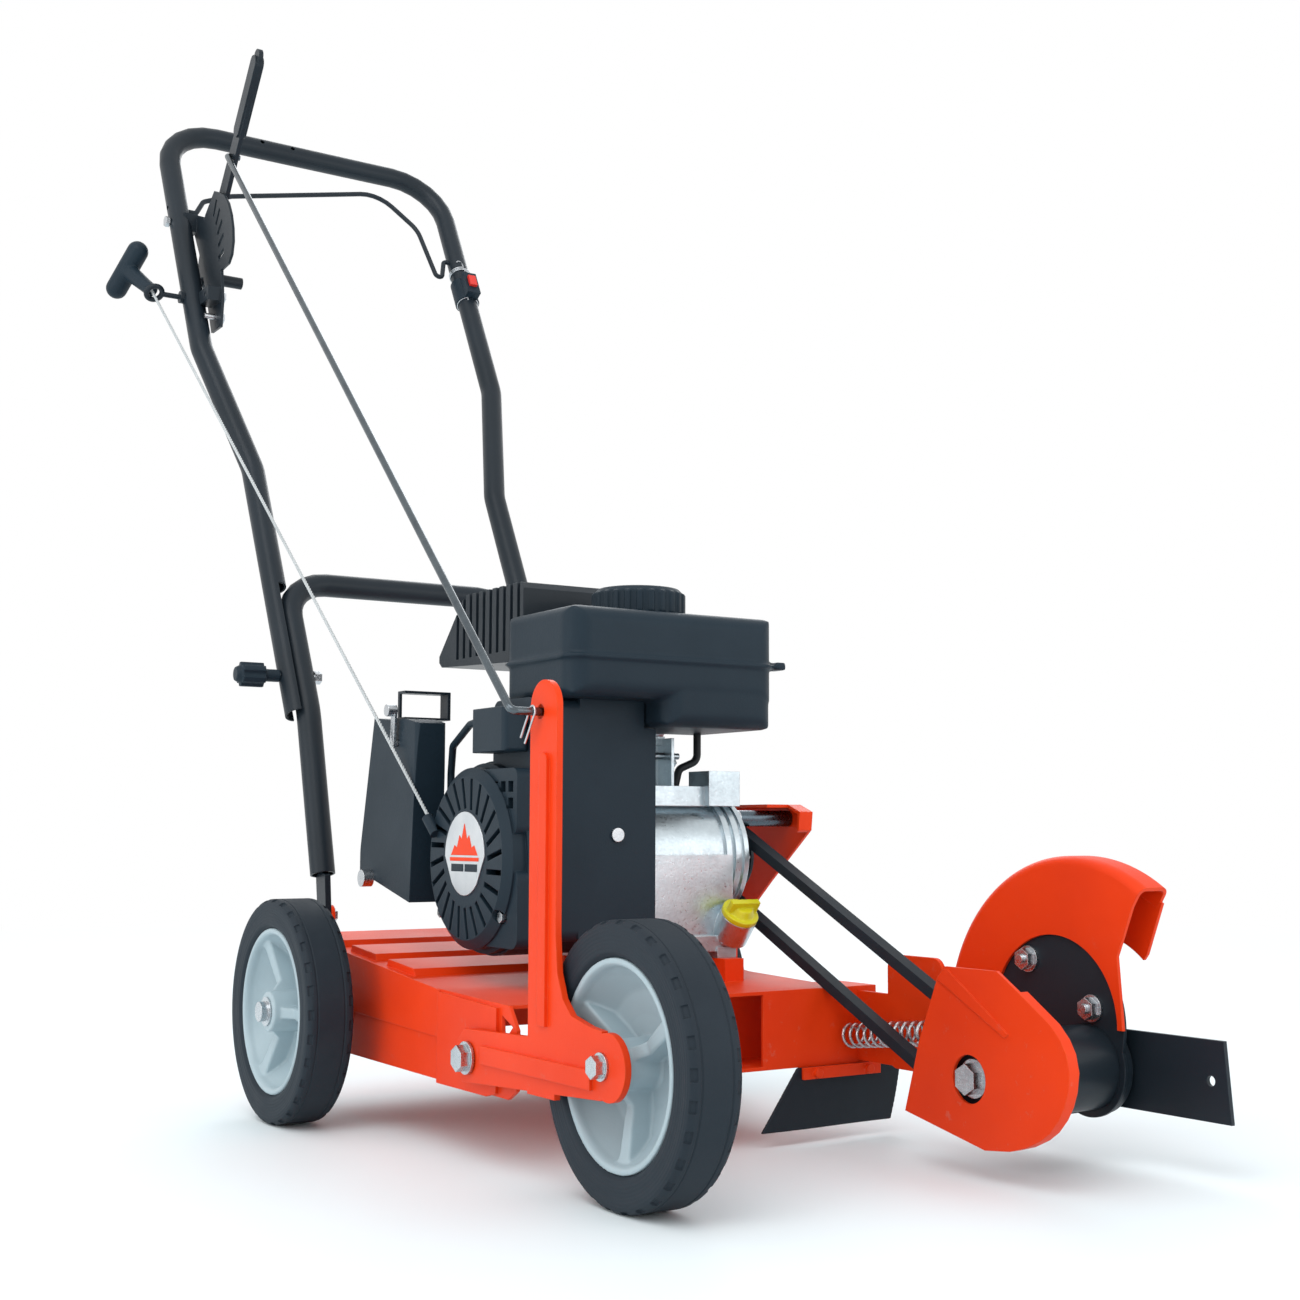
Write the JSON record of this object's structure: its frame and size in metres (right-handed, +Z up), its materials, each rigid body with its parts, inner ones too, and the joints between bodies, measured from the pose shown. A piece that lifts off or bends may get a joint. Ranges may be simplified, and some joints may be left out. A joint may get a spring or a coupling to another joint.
{
  "type": "lawn edger",
  "caption": "Walk-behind lawn edger with a small engine, belt-driven vertical blade, offset guard, spoked wheels and a leaning tube handle with depth lever.",
  "frame": {"origin": "on the ground, under the middle of the overall box", "axes": "+X forward from the handle to the blade, +Y to the machine's left where the blade is, +Z up"},
  "size_m": [1.2596, 0.555, 1.1467],
  "materials": {
    "orange": "gloss orange powder coat",
    "black_steel": "satin black powder coat",
    "zinc": "bright zinc plate",
    "rim_plastic": "pale grey-blue moulded plastic",
    "tyre": "moulded rubber",
    "black_plastic": "fine-textured black plastic",
    "alloy": "cast and machined aluminium",
    "badge": "plain silver label with an orange-red field",
    "rope": "braided cord",
    "red_plastic": "red rocker",
    "yellow_plastic": "yellow moulded cap",
    "belt_rubber": "wrapped V-belt",
    "flap_rubber": "reinforced rubber sheet",
    "hose": "fuel hose"
  },
  "bodies": {
    "chassis": {"chassis": "orange", "head_bracket": "orange", "axle_rear": "zinc", "axle_caps": "zinc", "arm_pivot_bolt": "zinc", "handle_lower": "black_steel", "foot_bolts": "zinc", "clamp_bolts": "zinc", "starter_rope": "rope", "engine_block": "alloy", "blower_housing": "black_plastic", "recoil_cover": "black_plastic", "recoil_badge": "badge", "fuel_tank": "black_plastic", "muffler_cover": "black_steel", "air_box": "black_plastic", "choke_bracket": "black_steel", "governor_plate": "alloy", "fuel_hose": "hose", "ignition_box": "black_plastic", "engine_bolts": "zinc", "drive_belt": "belt_rubber", "belt_guard": "orange", "belt_cover": "orange", "spindle_housing": "black_steel", "blade_guard": "orange", "guard_plate": "black_steel", "guard_nuts": "zinc", "head_spring": "zinc", "debris_flap": "flap_rubber"},
    "wheel_rear_right": {"rim_rear_right": "rim_plastic", "tyre_rear_right": "tyre"},
    "wheel_rear_left": {"rim_rear_left": "rim_plastic", "tyre_rear_left": "tyre"},
    "depth_arm": {"depth_arm": "orange", "front_axle": "zinc"},
    "wheel_front": {"rim_front": "rim_plastic", "tyre_front": "tyre"},
    "handle": {"handle_upper": "black_steel", "lever_quadrant": "black_steel", "quadrant_bolts": "zinc", "bail_spring": "zinc", "stop_switch": "black_plastic", "rope_guide": "black_steel"},
    "depth_lever": {"depth_lever": "black_steel"},
    "control_rod": {"control_rod": "black_steel", "rod_clip": "zinc"},
    "bail": {"bail": "black_steel"},
    "stop_button": {"stop_button": "red_plastic"},
    "clamp_knob_right": {"clamp_knob_right": "black_plastic"},
    "clamp_knob_left": {"clamp_knob_left": "black_plastic"},
    "starter_grip": {"starter_grip": "black_plastic"},
    "fuel_cap": {"fuel_cap": "black_plastic"},
    "oil_cap": {"oil_cap": "yellow_plastic"},
    "choke_lever": {"choke_lever": "zinc"},
    "drive_pulley": {"drive_pulley": "black_steel"},
    "blade_set": {"blade_pulley": "black_steel", "blade_spindle": "zinc", "blade_flange": "black_steel", "blade": "black_steel"}
  },
  "joints": [
    {"name": "rear_right_spin", "type": "hinge", "parent": "chassis", "child": "wheel_rear_right", "pos_m": [-0.05022, -0.22048, 0.1016], "axis": [0, 1, 0], "continuous": true},
    {"name": "rear_left_spin", "type": "hinge", "parent": "chassis", "child": "wheel_rear_left", "pos_m": [-0.05022, 0.19952, 0.1016], "axis": [0, 1, 0], "continuous": true},
    {"name": "depth_lever_pull", "type": "hinge", "parent": "handle", "child": "depth_lever", "pos_m": [-0.52622, -0.16848, 0.925], "axis": [0, 1, 0], "range_deg": [-4, 30]},
    {"name": "rod_on_lever", "type": "hinge", "parent": "depth_lever", "child": "control_rod", "pos_m": [-0.42622, -0.16848, 1.041], "axis": [0, 1, 0], "range_deg": [-34, 6]},
    {"name": "depth_arm_swing", "type": "hinge", "parent": "chassis", "child": "depth_arm", "pos_m": [0.23978, -0.17948, 0.086], "axis": [0, 1, 0], "range_deg": [-3, 16]},
    {"name": "front_spin", "type": "hinge", "parent": "depth_arm", "child": "wheel_front", "pos_m": [0.44978, -0.15148, 0.1016], "axis": [0, 1, 0], "continuous": true},
    {"name": "handle_fold", "type": "hinge", "parent": "chassis", "child": "handle", "pos_m": [-0.23222, -0.01048, 0.425], "axis": [0, 1, 0], "range_deg": [-60, 0]},
    {"name": "bail_squeeze", "type": "hinge", "parent": "handle", "child": "bail", "pos_m": [-0.54953, -0.01048, 1.00941], "axis": [0, 1, 0], "range_deg": [0, 25], "stiffness_Nm_per_rad": 0.8, "springref_deg": -34.38},
    {"name": "stop_button_press", "type": "slide", "parent": "handle", "child": "stop_button", "axis": [-0.8788, 0, -0.4772], "range_m": [0, 0.003], "stiffness_N_per_m": 150, "springref_m": -0.002},
    {"name": "knob_right_turn", "type": "hinge", "parent": "chassis", "child": "clamp_knob_right", "pos_m": [-0.23222, -0.19048, 0.425], "axis": [0, 1, 0], "range_deg": [-360, 360]},
    {"name": "knob_left_turn", "type": "hinge", "parent": "chassis", "child": "clamp_knob_left", "pos_m": [-0.23222, 0.16952, 0.425], "axis": [0, 1, 0], "range_deg": [-360, 360]},
    {"name": "starter_pull", "type": "slide", "parent": "handle", "child": "starter_grip", "axis": [-0.6729, -0.1146, 0.7308], "range_m": [0, 0.6], "stiffness_N_per_m": 12, "springref_m": -0.6},
    {"name": "fuel_cap_turn", "type": "hinge", "parent": "chassis", "child": "fuel_cap", "pos_m": [0.18978, 0.00552, 0.466], "axis": [0, 0, 1], "range_deg": [0, 180]},
    {"name": "oil_cap_turn", "type": "hinge", "parent": "chassis", "child": "oil_cap", "pos_m": [0.20578, 0.09552, 0.176], "axis": [0.6428, 0, 0.766], "range_deg": [0, 360]},
    {"name": "choke_swing", "type": "hinge", "parent": "chassis", "child": "choke_lever", "pos_m": [0.01178, -0.15048, 0.346], "axis": [0, 1, 0], "range_deg": [-25, 25]},
    {"name": "crank_spin", "type": "hinge", "parent": "chassis", "child": "drive_pulley", "pos_m": [0.14478, 0.13152, 0.242], "axis": [0, 1, 0], "continuous": true},
    {"name": "blade_spin", "type": "hinge", "parent": "chassis", "child": "blade_set", "pos_m": [0.49978, 0.13152, 0.076], "axis": [0, 1, 0], "continuous": true}
  ],
  "couplings": [
    {"joint": "rod_on_lever", "follows": "depth_lever_pull", "ratio": -1.0591},
    {"joint": "depth_arm_swing", "follows": "depth_lever_pull", "ratio": 0.5156},
    {"joint": "crank_spin", "follows": "blade_spin", "ratio": 1}
  ]
}
